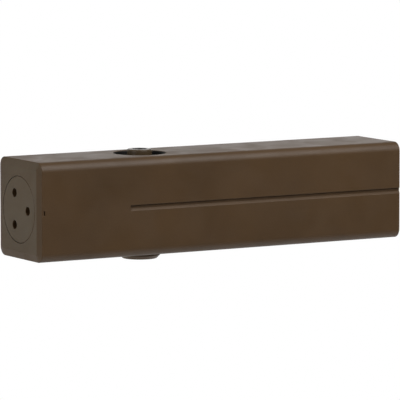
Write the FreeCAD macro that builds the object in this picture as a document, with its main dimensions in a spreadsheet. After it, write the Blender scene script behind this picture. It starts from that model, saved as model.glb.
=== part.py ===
"""Hydraulic rack-and-pinion door closer, body only, in millimetres.

Frame: the origin is the middle of the flat back that lies on the door. +X runs along the body, +Y points
into the door and +Z is up, so the body's front is at -Y. The spindle's two ends stand at the top and at
the bottom, nearer the left end. The valves are in the left end and the spring's adjuster in the right end.
"""
import FreeCAD, Part
import math
import os

import Sketcher

Vector = FreeCAD.Vector
Rotation = FreeCAD.Rotation

SIZES = [
    # housing
    ("body_length", 273.0, "housing, end to end"),
    ("body_depth", 57.0, "housing, back to front"),
    ("body_height", 64.0, "housing, bottom to top"),
    ("edge_fillet", 6.0, "radius of the four long edges"),
    ("end_chamfer_face", 4.8, "end chamfer, measured in the end face"),
    ("end_chamfer_length", 1.5, "end chamfer, measured along the body"),
    ("edge_round", 0.5, "small radius that softens both edges of each end chamfer"),
    ("groove_from_left", 65.9, "front groove, from the left end to its square start"),
    ("groove_below_middle", 0.2, "front groove, its middle below mid-height"),
    ("groove_height", 3.6, "front groove, height at the front face"),
    ("groove_depth", 1.3, "front groove, depth"),
    ("notch_height", 3.0, "locating notch in the left front edge, height"),
    ("notch_width", 1.2, "locating notch, width"),
    ("notch_depth", 0.8, "locating notch, depth"),
    ("notch_inset", 1.6, "locating notch, its middle in from the end chamfer"),
    ("mouth_chamfer", 0.6, "chamfer round the mouth of each spindle recess"),
    # bores
    ("piston_bore", 19.0, "radius of the cylinder bore"),
    ("bore_clearance", 0.04, "running clearance of the piston in its bore"),
    ("piston_rest_room", 6.1633, "room between the left plug and the piston at rest"),
    ("recess_radius", 16.9, "radius of the recess round each spindle end"),
    ("carrier_wall", 0.8, "least wall between the cylinder bore and a carrier's seat"),
    ("carrier_height", 7.7, "bearing carrier, along the spindle"),
    ("passage_room", 0.75, "room round the pinion in the bore that it passes through"),
    ("static_clearance", 0.05, "clearance of screwed-in parts in their seats"),
    # end plugs
    ("plug_step", 2.5, "how much wider the end plugs are than the cylinder bore"),
    ("plug_seam", 0.22, "gap round the plugs at the end faces"),
    ("plug_rim_chamfer", 0.35, "chamfer of each plug's rim"),
    ("left_plug_length", 24.0, "left end plug, along the body"),
    ("right_plug_length", 20.0, "right end plug, along the body"),
    ("plug_cord", 2.1, "thickness of the plugs' O-rings"),
    ("plug_groove_from_face", 16.0, "O-ring groove, from the plug's outer face"),
    ("spanner_hole", 2.5, "radius of the right plug's two spanner holes"),
    ("spanner_hole_depth", 6.0, "depth of the spanner holes"),
    ("spanner_hole_circle", 13.0, "radius at which the spanner holes stand"),
    # regulating valves
    ("valve_circle", 11.9, "radius at which the three valves stand"),
    ("valve_access", 2.9, "radius of the hole through which a key reaches each valve"),
    ("valve_access_depth", 10.0, "depth of that hole"),
    ("valve_bore", 2.65, "radius of each valve's bore"),
    ("valve_below_step", 0.3, "depth of each valve's head below the step between the two"),
    ("valve_length", 9.0, "threaded part of a valve"),
    ("valve_port", 1.7, "radius of the oil port behind each valve"),
    ("valve_needle", 1.5, "radius of a valve's needle"),
    ("valve_socket_flats", 3.0, "hexagon socket of a valve, across flats"),
    ("valve_socket_depth", 2.5, "hexagon socket of a valve, depth"),
    ("valve_cord", 1.0, "thickness of a valve's O-ring"),
    ("running_clearance", 0.05, "clearance of turning parts in their bores"),
    # spindle
    ("spindle_radius", 8.25, "radius of the spindle's two ends"),
    ("journal_step", 0.25, "how much wider the journals are than the ends"),
    ("spindle_proud", 2.5, "how far each spindle end stands above the housing"),
    ("spindle_rim", 0.7, "chamfer of each spindle end"),
    ("spindle_socket_flats", 8.0, "hexagon socket for the arm, across flats"),
    ("spindle_socket_depth", 9.0, "hexagon socket for the arm, depth"),
    ("spindle_socket_mouth", 0.5, "lead-in chamfer round the mouth of that socket"),
    ("arm_screw_hole", 2.5, "radius of the tapped hole under the socket"),
    ("arm_screw_depth", 10.0, "depth of the tapped hole under the socket"),
    ("collar_below_tips", 0.25, "how much smaller the thrust collars are than the pinion's tips"),
    ("collar_thickness", 1.8, "thickness of the thrust collars"),
    ("neck_room", 0.5, "room between the spindle's neck and the rack's tips"),
    ("washer_thickness", 0.5, "thickness of the spindle's thrust washers"),
    ("needle_roller", 0.72, "radius of a needle roller"),
    ("needle_play", 0.02, "play of the needle rollers"),
    ("cup_wall", 1.27, "wall of a needle bearing's cup"),
    ("cup_length", 4.4, "length of a needle bearing's cup"),
    ("seal_width", 3.75, "width of a shaft seal's ring"),
    ("seal_thickness", 2.2, "thickness of a shaft seal"),
    ("web_room", 0.95, "room between the spindle and the web between bearing and seal"),
    ("carrier_web", 0.6, "thickness of the web between bearing and seal"),
    ("carrier_cord", 1.5, "thickness of a carrier's O-ring"),
    # cap under the lower spindle end
    ("cap_radius", 13.4, "radius of the cap's dome"),
    ("cap_proud", 4.6, "how far the cap stands below the housing"),
    ("cap_bevel", 2.2, "bevel round the cap's lower rim"),
    ("cap_room", 0.5, "room between the spindle and the cap"),
    # gear
    ("gear_module", 1.75, "module of the rack and the pinion"),
    ("pinion_teeth", 12, "teeth of the pinion"),
    ("pressure_angle", 25.0, "pressure angle of the teeth, in degrees"),
    ("tooth_backlash", 0.12, "how much thinner each pinion tooth is cut"),
    ("tooth_root_room", 0.25, "room under a tooth, as a share of the module"),
    ("pinion_half_height", 13.0, "half of the pinion's face width"),
    ("opening_angle", 180.0, "the spindle's whole turn, in degrees"),
    # piston
    ("left_head", 12.0, "length of the piston's left head"),
    ("right_head", 14.0, "length of the piston's right head"),
    ("window_room", 1.1, "room between the pinion and the window's ends"),
    ("window_back_room", 0.6, "room between the pinion and the window's back"),
    ("rack_gaps", 11, "tooth gaps in the rack"),
    ("ring_width", 2.4, "width of a piston ring"),
    ("ring_depth", 2.0, "depth of a piston ring's groove"),
    ("ring_from_end", 4.0, "piston ring groove, from the end of its head"),
    ("spigot_wall", 2.5, "wall of the spigot that centres the inner spring"),
    ("spigot_length", 5.0, "length of the spigot"),
    ("check_bore", 4.0, "radius of the bores for the piston's two valves"),
    ("check_bore_depth", 8.0, "depth of the check valve's bore"),
    ("relief_bore_depth", 13.0, "depth of the relief valve's bore"),
    ("check_port", 1.5, "radius of the oil ports in the piston's heads"),
    ("check_ball_radius", 2.4, "radius of the check and relief balls"),
    ("ball_lift", 1.0, "how far a ball can lift off its seat"),
    ("retainer_thickness", 1.2, "thickness of the check ball's retainer"),
    ("relief_wire", 0.35, "radius of the relief spring's wire"),
    ("relief_coil", 1.9, "mean radius of the relief spring"),
    ("relief_screw_length", 3.5, "length of the relief valve's screw"),
    # springs
    ("outer_wire", 2.5, "radius of the outer spring's wire"),
    ("outer_spring_room", 2.2, "room between the outer spring and the cylinder bore"),
    ("outer_turns", 11.0, "turns of the outer spring"),
    ("inner_wire", 1.6, "radius of the inner spring's wire"),
    ("inner_spring_room", 0.6, "room between the inner spring and its spigot"),
    ("inner_turns", 19.0, "turns of the inner spring"),
    # spring adjuster
    ("screw_radius", 5.0, "radius of the adjusting screw"),
    ("screw_recess", 3.0, "depth of the adjusting screw's end below the plug's face"),
    ("screw_socket_flats", 6.0, "hexagon socket of the adjusting screw, across flats"),
    ("screw_socket_depth", 6.0, "hexagon socket of the adjusting screw, depth"),
    ("screw_collar", 9.0, "radius of the adjusting screw's collar"),
    ("screw_collar_length", 3.5, "length of the adjusting screw's collar"),
    ("screw_washer", 1.5, "thickness of the adjusting screw's thrust washer"),
    ("screw_thread_length", 33.0, "length of the adjusting screw's thread"),
    ("screw_cord", 1.6, "thickness of the adjusting screw's O-ring"),
    ("plate_thickness", 10.0, "thickness of the spring plate"),
    ("plate_clearance", 0.35, "clearance of the spring plate in the bore"),
    ("plate_from_collar", 1.5, "room between the collar and the spring plate"),
    # oil galleries and fixing holes
    ("gallery_radius", 1.5, "radius of the oil galleries"),
    ("gallery_wall", 2.5, "wall between the galleries and the plugs' seats"),
    ("gallery_lean", 33.0, "galleries, above and below the bore's middle, in degrees"),
    ("gallery_ball", 2.0, "radius of the balls that close the galleries"),
    ("gallery_ball_depth", 2.6, "depth of each ball's middle below its face"),
    ("port_one", 109.4, "first port, left of the body's middle"),
    ("port_two", 12.0, "second port, left of the body's middle"),
    ("port_three", 80.0, "third port, right of the body's middle"),
    ("fixing_radius", 2.5, "radius of the tapped fixing holes"),
    ("fixing_depth", 12.0, "depth of the fixing holes"),
    ("fixing_spacing_long", 220.0, "fixing holes, apart along the body"),
    ("fixing_spacing_high", 48.0, "fixing holes, apart up the body"),
]


class Size:
    """A length known twice over: its value now, and the sheet expression that drives it."""

    def __init__(self, value, text):
        self.value = float(value)
        self.text = text

    @staticmethod
    def of(other):
        return other if isinstance(other, Size) else Size(other, repr(other))

    def __add__(self, other):
        other = Size.of(other)
        return Size(self.value + other.value, "(%s + %s)" % (self.text, other.text))

    def __sub__(self, other):
        other = Size.of(other)
        return Size(self.value - other.value, "(%s - %s)" % (self.text, other.text))

    def __mul__(self, other):
        other = Size.of(other)
        return Size(self.value * other.value, "(%s * %s)" % (self.text, other.text))

    def __truediv__(self, other):
        other = Size.of(other)
        return Size(self.value / other.value, "(%s / %s)" % (self.text, other.text))

    def __neg__(self):
        return Size(-self.value, "(0 - %s)" % self.text)

    def root(self):
        return Size(math.sqrt(self.value), "sqrt(%s)" % self.text)

    def sine(self):
        """The sine of this many degrees."""
        return Size(math.sin(math.radians(self.value)), "sin(%s * 1 deg)" % self.text)

    def cosine(self):
        """The cosine of this many degrees."""
        return Size(math.cos(math.radians(self.value)), "cos(%s * 1 deg)" % self.text)

    def tangent(self):
        """The tangent of this many degrees."""
        return Size(math.tan(math.radians(self.value)), "tan(%s * 1 deg)" % self.text)


ZERO = Size(0, "0")


def make_sheet(document):
    """Writes the driving dimensions to the sheet and returns them by name."""
    sheet = document.addObject("Spreadsheet::Sheet", "Sizes")
    known = {}
    for row, (alias, value, meaning) in enumerate(SIZES, start=1):
        sheet.set("A%d" % row, meaning)
        sheet.set("B%d" % row, str(value))
        sheet.setAlias("B%d" % row, alias)
        known[alias] = Size(value, "Sizes." + alias)
    document.recompute()
    return known


doc = FreeCAD.newDocument("door_closer")
size = make_sheet(doc)

# ---- places that several pieces share -------------------------------------------------------------------
LEFT_END = -size["body_length"] / 2
RIGHT_END = size["body_length"] / 2
TOP = size["body_height"] / 2
BORE_Y = -size["body_depth"] / 2
CARRIER_SEAT = size["piston_bore"] + size["carrier_wall"]
RECESS_DEPTH = TOP - CARRIER_SEAT - size["carrier_height"]
PLUG_RADIUS = size["piston_bore"] + size["plug_step"]
PLUG_SEAT_RADIUS = PLUG_RADIUS + size["plug_seam"]
GALLERY_DISTANCE = PLUG_SEAT_RADIUS + size["gallery_wall"] + size["gallery_radius"]
GALLERY_Y = BORE_Y + GALLERY_DISTANCE * size["gallery_lean"].cosine()
GALLERY_Z = GALLERY_DISTANCE * size["gallery_lean"].sine()
PITCH_RADIUS = size["gear_module"] * size["pinion_teeth"] / 2
TIP_RADIUS = PITCH_RADIUS + size["gear_module"]
TOOTH_PITCH = size["gear_module"] * math.pi
STROKE = PITCH_RADIUS * size["opening_angle"] * (math.pi / 180)
PISTON_LEFT = LEFT_END + size["left_plug_length"] + size["piston_rest_room"]
WINDOW_LEFT = PISTON_LEFT + size["left_head"]
SPINDLE_X = WINDOW_LEFT + STROKE + size["window_room"] + TIP_RADIUS
WINDOW_RIGHT = SPINDLE_X + TIP_RADIUS + size["window_room"]
PISTON_RIGHT = WINDOW_RIGHT + size["right_head"]
RACK_TIPS = PITCH_RADIUS - size["gear_module"]
PASSAGE_RADIUS = TIP_RADIUS + size["passage_room"]
JOURNAL_RADIUS = size["spindle_radius"] + size["journal_step"]
JOURNAL_END = CARRIER_SEAT + size["cup_length"] + size["carrier_web"] + size["seal_thickness"] + 0.2
RACEWAY_RADIUS = JOURNAL_RADIUS + size["needle_roller"] * 2 + size["needle_play"] * 2
CUP_RADIUS = RACEWAY_RADIUS + size["cup_wall"]
SEAL_RADIUS = JOURNAL_RADIUS + size["seal_width"]
VALVE_START = size["valve_access_depth"] + size["valve_below_step"]
SPIGOT_RADIUS = size["check_bore"] + size["spigot_wall"]
COIL_RADIUS = {
    "outer": size["piston_bore"] - size["outer_spring_room"] - size["outer_wire"],
    "inner": SPIGOT_RADIUS + size["inner_spring_room"] + size["inner_wire"],
}
SCREW_COLLAR_END = size["right_plug_length"] + size["screw_washer"] + size["screw_collar_length"]
PLATE_OUTER = SCREW_COLLAR_END + size["plate_from_collar"]
PLATE_INNER = PLATE_OUTER + size["plate_thickness"]
SPRING_LENGTH = RIGHT_END - PLATE_INNER - PISTON_RIGHT

UPRIGHT = Rotation()
INWARD_FROM_LEFT = Rotation(Vector(0, 1, 0), 90)
INWARD_FROM_RIGHT = Rotation(Vector(0, 1, 0), -90)
UPSIDE_DOWN = Rotation(Vector(1, 0, 0), 180)

parts = []


# ---- helpers --------------------------------------------------------------------------------------------
def place(item, x, y, z, turn=UPRIGHT):
    """Puts an item at x, y, z in the closer's frame, with its own +Z turned by a rotation."""
    here = [Size.of(x), Size.of(y), Size.of(z)]
    item.Placement = FreeCAD.Placement(Vector(*[each.value for each in here]), turn)
    for axis, each in zip("xyz", here):
        item.setExpression("Placement.Base." + axis, each.text)


def keep(item, label):
    """Marks an item as a piece that is written to a file of its own."""
    item.Label = label
    parts.append(item)
    return item


def new_body(name):
    return doc.addObject("PartDesign::Body", name)


def origin_plane(body, role):
    return [feature for feature in body.Origin.OriginFeatures if feature.Role == role][0]


def new_sketch(body, name, role, offset=None):
    """A sketch on one of the body's origin planes, moved along that plane's normal by an offset."""
    sketch = body.newObject("Sketcher::SketchObject", name)
    sketch.AttachmentSupport = [(origin_plane(body, role), "")]
    sketch.MapMode = "FlatFace"
    if offset is not None:
        sketch.AttachmentOffset = FreeCAD.Placement(Vector(0, 0, offset.value), Rotation())
        sketch.setExpression("AttachmentOffset.Base.z", offset.text)
    return sketch


def fix_point(sketch, line, vertex, x, y):
    """Holds one point of a sketch at x, y, each driven by the sheet."""
    for kind, axis, each in (("DistanceX", -2, x), ("DistanceY", -1, y)):
        if each.text == "0":
            sketch.addConstraint(Sketcher.Constraint("PointOnObject", line, vertex, axis))
        else:
            index = sketch.addConstraint(Sketcher.Constraint(kind, line, vertex, each.value))
            sketch.setExpression("Constraints[%d]" % index, each.text)


def outline(body, name, role, points, offset=None):
    """A closed sketch of straight lines through points given as pairs of sizes."""
    sketch = new_sketch(body, name, role, offset)
    corners = [(Size.of(x), Size.of(y)) for x, y in points]
    count = len(corners)
    for index, (x, y) in enumerate(corners):
        end_x, end_y = corners[(index + 1) % count]
        start = Vector(x.value, y.value, 0)
        sketch.addGeometry(Part.LineSegment(start, Vector(end_x.value, end_y.value, 0)))
    for index in range(count):
        sketch.addConstraint(Sketcher.Constraint("Coincident", index, 2, (index + 1) % count, 1))
    for index, (x, y) in enumerate(corners):
        fix_point(sketch, index, 1, ZERO if x.value == 0 else x, ZERO if y.value == 0 else y)
    return sketch


def circles(body, name, role, rounds, offset=None):
    """A sketch of circles, each given as x, y and radius."""
    sketch = new_sketch(body, name, role, offset)
    for index, (x, y, radius) in enumerate(rounds):
        x, y, radius = Size.of(x), Size.of(y), Size.of(radius)
        middle = Vector(x.value, y.value, 0)
        sketch.addGeometry(Part.Circle(middle, Vector(0, 0, 1), radius.value))
        fix_point(sketch, index, 3, ZERO if x.value == 0 else x, ZERO if y.value == 0 else y)
        number = sketch.addConstraint(Sketcher.Constraint("Radius", index, radius.value))
        sketch.setExpression("Constraints[%d]" % number, radius.text)
    return sketch


def revolved(body, points):
    """Turns an outline of (radius, height) pairs about the body's own Z axis."""
    sketch = outline(body, body.Name + "_profile", "XZ_Plane", points)
    solid = body.newObject("PartDesign::Revolution", body.Name + "_turned")
    solid.Profile = sketch
    solid.ReferenceAxis = (sketch, ["V_Axis"])
    solid.Angle = 360.0
    doc.recompute()
    return solid


def turned(label, points, x, y, z, turn=UPRIGHT):
    """A turned piece: an outline of (radius, height) pairs about its own Z axis."""
    body = new_body(label)
    revolved(body, points)
    place(body, x, y, z, turn)
    return keep(body, label)


def pocket(body, sketch, depth=None, backwards=False, both_ways=False):
    """Cuts a sketch out of the body, and stops if the cut took nothing away."""
    before = body.Shape.Volume
    cut = body.newObject("PartDesign::Pocket", sketch.Name + "_cut")
    cut.Profile = sketch
    cut.Reversed = backwards
    if depth is None:
        cut.Type = 1
    else:
        cut.Length = Size.of(depth).value
        cut.setExpression("Length", Size.of(depth).text)
    cut.Midplane = both_ways
    doc.recompute()
    if not body.Shape.Volume < before - 1e-6:
        raise RuntimeError("%s cuts nothing" % cut.Name)
    return cut


def polar_copies(body, feature, count):
    """Repeats a cut evenly round the body's own Z axis."""
    pattern = body.newObject("PartDesign::PolarPattern", feature.Name + "_round")
    pattern.Originals = [feature]
    pattern.Axis = (origin_plane(body, "Z_Axis"), [""])
    pattern.Angle = 360.0
    pattern.Occurrences = count
    body.Tip = pattern
    doc.recompute()
    return pattern


def hexagon(flats):
    """The corners of a hexagon about the origin, across flats."""
    reach = flats / math.sqrt(3.0)
    corners = []
    for step in range(6):
        angle = math.radians(60 * step)
        corners.append((reach * round(math.cos(angle), 9), reach * round(math.sin(angle), 9)))
    return corners


def primitive(kind, name, **lengths):
    """A Part primitive whose named lengths are driven by the sheet."""
    item = doc.addObject("Part::" + kind, name)
    for prop, length in lengths.items():
        setattr(item, prop, Size.of(length).value)
        item.setExpression(prop, Size.of(length).text)
    return item


def boolean(kind, name, base, tool):
    item = doc.addObject("Part::" + kind, name)
    item.Base = base
    item.Tool = tool
    return item


def group(name, items):
    item = doc.addObject("Part::Compound", name)
    item.Links = items
    return item


def oring(label, outer_radius, cord, x, y, z, turn=UPRIGHT):
    """An O-ring that fills a groove out to outer_radius."""
    ring = primitive("Torus", label, Radius1=outer_radius - cord / 2, Radius2=cord / 2)
    place(ring, x, y, z, turn)
    return keep(ring, label)


def ring_disc(label, outer, inner, thickness, x, y, z, turn=UPRIGHT):
    """A flat ring, its lower face at the given place."""
    disc = primitive("Cylinder", label + "_disc", Radius=outer, Height=thickness)
    hole = primitive("Cylinder", label + "_hole", Radius=inner, Height=thickness)
    ring = boolean("Cut", label, disc, hole)
    place(ring, x, y, z, turn)
    return keep(ring, label)


def coil_spring(label, wire, coil, turns, length, x, y, z, turn=UPRIGHT):
    """A helical spring along its own +Z, its two ends ground flat."""
    height = length - wire
    helix = primitive("Helix", label + "_line", Pitch=height / turns, Height=height, Radius=coil)
    helix.setExpression("Placement.Base.z", (wire / 2).text)
    circle = primitive("Circle", label + "_wire", Radius=wire)
    circle.Placement = FreeCAD.Placement(Vector(coil.value, 0, wire.value / 2), Rotation(Vector(1, 0, 0), 90))
    circle.setExpression("Placement.Base.x", coil.text)
    circle.setExpression("Placement.Base.z", (wire / 2).text)
    sweep = doc.addObject("Part::Sweep", label + "_sweep")
    sweep.Sections = [circle]
    sweep.Spine = (helix, [])
    sweep.Solid = True
    sweep.Frenet = True
    room = primitive("Cylinder", label + "_room", Radius=coil + wire * 2, Height=length)
    spring = boolean("Common", label, sweep, room)
    place(spring, x, y, z, turn)
    return keep(spring, label)


def edges_where(shape, wanted):
    """Names of the edges for which wanted(edge) is true."""
    return ["Edge%d" % number for number, edge in enumerate(shape.Edges, start=1) if wanted(edge)]


def dress(body, kind, name, base, wanted, **lengths):
    """A fillet or chamfer on chosen edges of the body's last feature."""
    feature = body.newObject("PartDesign::" + kind, name)
    feature.Base = (base, edges_where(base.Shape, wanted))
    for prop, length in lengths.items():
        setattr(feature, prop, length.value)
        feature.setExpression(prop, length.text)
    return feature


# ---- housing --------------------------------------------------------------------------------------------
def housing_block(body):
    """The bar with its rounded long edges and its bevelled ends."""
    profile = outline(body, "bar_section", "YZ_Plane", [
        (-size["body_depth"], -TOP), (ZERO, -TOP), (ZERO, TOP), (-size["body_depth"], TOP)])
    bar = body.newObject("PartDesign::Pad", "bar")
    bar.Profile = profile
    bar.Length = size["body_length"].value
    bar.setExpression("Length", size["body_length"].text)
    bar.Midplane = True
    doc.recompute()

    def runs_along(edge):
        return edge.BoundBox.XLength > size["body_length"].value / 2

    rounded = dress(body, "Fillet", "long_edges", bar, runs_along, Radius=size["edge_fillet"])
    doc.recompute()
    half = size["body_length"].value / 2

    def round_left_end(edge):
        return edge.BoundBox.XMax < 1e-3 - half

    def round_right_end(edge):
        return edge.BoundBox.XMin > half - 1e-3

    left = end_bevel(body, "left_bevel", rounded, round_left_end)
    bevelled = end_bevel(body, "right_bevel", left, round_right_end)
    inner = half - size["end_chamfer_length"].value

    def bounds_a_bevel(edge):
        box = edge.BoundBox
        return box.XLength < 1e-3 and min(abs(abs(box.XMax) - half), abs(abs(box.XMax) - inner)) < 1e-3

    return dress(body, "Fillet", "bevel_edges", bevelled, bounds_a_bevel, Radius=size["edge_round"])


def end_bevel(body, name, base, wanted):
    """A bevel that is wide in the end face and short along the body."""
    bevel = dress(body, "Chamfer", name, base, wanted)
    bevel.ChamferType = 1
    bevel.setExpression("Size", size["end_chamfer_face"].text)
    bevel.setExpression("Size2", size["end_chamfer_length"].text)
    doc.recompute()
    end_area = max(face.Area for face in bevel.Shape.Faces if face.BoundBox.XLength < 1e-3)
    inner = size["body_height"].value - 2 * size["end_chamfer_face"].value
    if end_area > (inner + 1) * size["body_depth"].value:
        bevel.FlipDirection = True
        doc.recompute()
    return bevel


def housing_bores(body):
    """The cylinder bore, the plugs' seats, and the cross bore for the spindle."""
    pocket(body, circles(body, "cylinder_bore", "YZ_Plane", [(BORE_Y, ZERO, size["piston_bore"])]),
           both_ways=True)
    seat = [(BORE_Y, ZERO, PLUG_SEAT_RADIUS)]
    pocket(body, circles(body, "left_seat", "YZ_Plane", seat, LEFT_END + size["left_plug_length"]),
           size["left_plug_length"] + 1)
    pocket(body, circles(body, "right_seat", "YZ_Plane", seat, RIGHT_END - size["right_plug_length"]),
           size["right_plug_length"] + 1, backwards=True)
    passage = [(SPINDLE_X, BORE_Y, PASSAGE_RADIUS)]
    pocket(body, circles(body, "spindle_passage", "XY_Plane", passage), both_ways=True)
    recess = [(SPINDLE_X, BORE_Y, size["recess_radius"])]
    deep = TOP - CARRIER_SEAT + 1
    pocket(body, circles(body, "upper_recess", "XY_Plane", recess, CARRIER_SEAT), deep, backwards=True)
    last = pocket(body, circles(body, "lower_recess", "XY_Plane", recess, -CARRIER_SEAT), deep)
    reach = size["body_height"].value / 2

    def recess_mouth(edge):
        flat = edge.BoundBox.ZLength < 1e-3
        outside = abs(abs(edge.BoundBox.ZMax) - reach) < 1e-3
        return flat and outside and abs(edge.BoundBox.XLength - 2 * size["recess_radius"].value) < 0.5

    dress(body, "Chamfer", "recess_mouths", last, recess_mouth, Size=size["mouth_chamfer"])
    doc.recompute()


def housing_front(body):
    """The long decorative groove and the small locating notch."""
    front = -size["body_depth"]
    middle = -size["groove_below_middle"]
    upper = middle + size["groove_height"] / 2
    lower = middle - size["groove_height"] / 2
    floor = front + size["groove_depth"]
    section = [(front - 1, lower - 1), (front - 1, upper), (floor, upper), (floor, lower + size["groove_depth"]),
               (front, lower)]
    pocket(body, outline(body, "front_groove", "YZ_Plane", section, LEFT_END + size["groove_from_left"]),
           size["body_length"], backwards=True)
    notch_x = LEFT_END + size["end_chamfer_length"] + size["notch_inset"]
    half_wide = size["notch_width"] / 2
    half_high = size["notch_height"] / 2
    pocket(body, outline(body, "locating_notch", "XZ_Plane", [
        (notch_x - half_wide, -half_high), (notch_x + half_wide, -half_high),
        (notch_x + half_wide, half_high), (notch_x - half_wide, half_high)],
        size["body_depth"]), size["notch_depth"])


def housing_drillings(body):
    """Oil galleries behind the cylinder, their cross ports, and the tapped fixing holes."""
    ports = [-size["port_one"], -size["port_two"], size["port_three"]]
    heights = [GALLERY_Z, -GALLERY_Z]
    at_ports = [(x, z) for x in ports for z in heights]
    drill = size["gallery_radius"]
    reach = -BORE_Y - (size["piston_bore"] * size["piston_bore"] - GALLERY_Z * GALLERY_Z).root() + drill
    pocket(body, circles(body, "ports", "XZ_Plane", [(x, z, drill) for x, z in at_ports]), reach,
           backwards=True)
    ball = size["gallery_ball"]
    seat = size["gallery_ball_depth"] + ball
    pocket(body, circles(body, "port_seats", "XZ_Plane", [(x, z, ball) for x, z in at_ports]), seat,
           backwards=True)
    lines = [(GALLERY_Y, z) for z in heights]
    first = -size["port_one"]
    pocket(body, circles(body, "galleries", "YZ_Plane", [(y, z, drill) for y, z in lines], first),
           size["body_length"], backwards=True)
    pocket(body, circles(body, "gallery_seats", "YZ_Plane", [(y, z, ball) for y, z in lines],
                         RIGHT_END - seat), seat + 1, backwards=True)
    long = size["fixing_spacing_long"] / 2
    high = size["fixing_spacing_high"] / 2
    fixings = [(x, z, size["fixing_radius"]) for x in (-long, long) for z in (-high, high)]
    pocket(body, circles(body, "fixing_holes", "XZ_Plane", fixings), size["fixing_depth"], backwards=True)


def make_housing():
    body = new_body("housing")
    housing_block(body)
    housing_bores(body)
    housing_front(body)
    housing_drillings(body)
    keep(body, "housing")


def make_gallery_balls():
    """Steel balls pressed into the open ends of the drillings."""
    ball = size["gallery_ball"]
    deep = size["gallery_ball_depth"]
    places = []
    for z in (GALLERY_Z, -GALLERY_Z):
        for x in (-size["port_one"], -size["port_two"], size["port_three"]):
            places.append((x, -deep, z))
        places.append((RIGHT_END - deep, GALLERY_Y, z))
    balls = []
    for number, (x, y, z) in enumerate(places, start=1):
        item = primitive("Sphere", "gallery_ball_%d" % number, Radius=ball)
        place(item, x, y, z)
        balls.append(item)
    keep(group("gallery_balls", balls), "gallery_balls")


# ---- end plugs ------------------------------------------------------------------------------------------
def plug_outline(length, bore):
    """Half section of an end plug from its outer face inwards, with its O-ring groove."""
    radius = PLUG_RADIUS
    rim = size["plug_rim_chamfer"]
    groove_start = size["plug_groove_from_face"]
    groove_end = groove_start + size["plug_cord"] * 1.25
    floor = PLUG_SEAT_RADIUS - size["plug_cord"]
    return [(bore, ZERO), (radius - rim, ZERO), (radius, rim), (radius, groove_start), (floor, groove_start),
            (floor, groove_end), (radius, groove_end), (radius, length), (bore, length)]


def plug_ring_depth():
    return size["plug_groove_from_face"] + size["plug_cord"] * 0.625


def make_left_plug():
    """The flush plug that carries the three regulating valves."""
    length = size["left_plug_length"]
    body = turned("left_end_plug", plug_outline(length, ZERO), LEFT_END, BORE_Y, 0, INWARD_FROM_LEFT)
    where = (ZERO, -size["valve_circle"])
    for name, depth in (("valve_access", size["valve_access_depth"]),
                        ("valve_bore", VALVE_START + size["valve_length"] + 0.5), ("valve_port", length)):
        hole = pocket(body, circles(body, name, "XY_Plane", [where + (size[name],)]), depth, backwards=True)
        polar_copies(body, hole, 3)
    oring("left_plug_oring", PLUG_SEAT_RADIUS, size["plug_cord"],
          LEFT_END + plug_ring_depth(), BORE_Y, 0, INWARD_FROM_LEFT)


def make_right_plug():
    """The plug that carries the spring's adjusting screw."""
    bore = size["screw_radius"] + size["running_clearance"]
    length = size["right_plug_length"]
    body = turned("right_end_plug", plug_outline(length, bore), RIGHT_END, BORE_Y, 0, INWARD_FROM_RIGHT)
    spanner = circles(body, "spanner_holes", "XY_Plane", [
        (ZERO, size["spanner_hole_circle"], size["spanner_hole"]),
        (ZERO, -size["spanner_hole_circle"], size["spanner_hole"])])
    pocket(body, spanner, size["spanner_hole_depth"], backwards=True)
    oring("right_plug_oring", PLUG_SEAT_RADIUS, size["plug_cord"],
          RIGHT_END - plug_ring_depth(), BORE_Y, 0, INWARD_FROM_RIGHT)


def make_valve(label, across, up):
    """A needle valve: a threaded head with a hexagon socket, an O-ring, and a tapered needle."""
    radius = size["valve_bore"] - size["running_clearance"]
    length = size["valve_length"]
    cord = size["valve_cord"]
    floor = radius - cord
    groove = length - cord * 3
    points = [(ZERO, ZERO), (radius - 0.3, ZERO), (radius, Size.of(0.3)), (radius, groove), (floor, groove),
              (floor, groove + cord * 1.25), (radius, groove + cord * 1.25), (radius, length),
              (size["valve_needle"], length), (size["valve_needle"], length + 3),
              (size["valve_needle"] / 3, length + 4.8), (ZERO, length + 4.8)]
    y = BORE_Y + size["valve_circle"] * across
    z = size["valve_circle"] * up
    body = turned(label, points, LEFT_END + VALVE_START, y, z, INWARD_FROM_LEFT)
    socket = outline(body, label + "_socket", "XY_Plane", hexagon(size["valve_socket_flats"]))
    pocket(body, socket, size["valve_socket_depth"], backwards=True)
    oring(label + "_oring", radius, cord, LEFT_END + VALVE_START + groove + cord * 0.625, y, z,
          INWARD_FROM_LEFT)


def make_valves():
    half_root_three = round(math.sqrt(3.0) / 2, 9)
    make_valve("closing_valve", -1, 0)
    make_valve("latching_valve", 0.5, half_root_three)
    make_valve("backcheck_valve", 0.5, -half_root_three)


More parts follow.
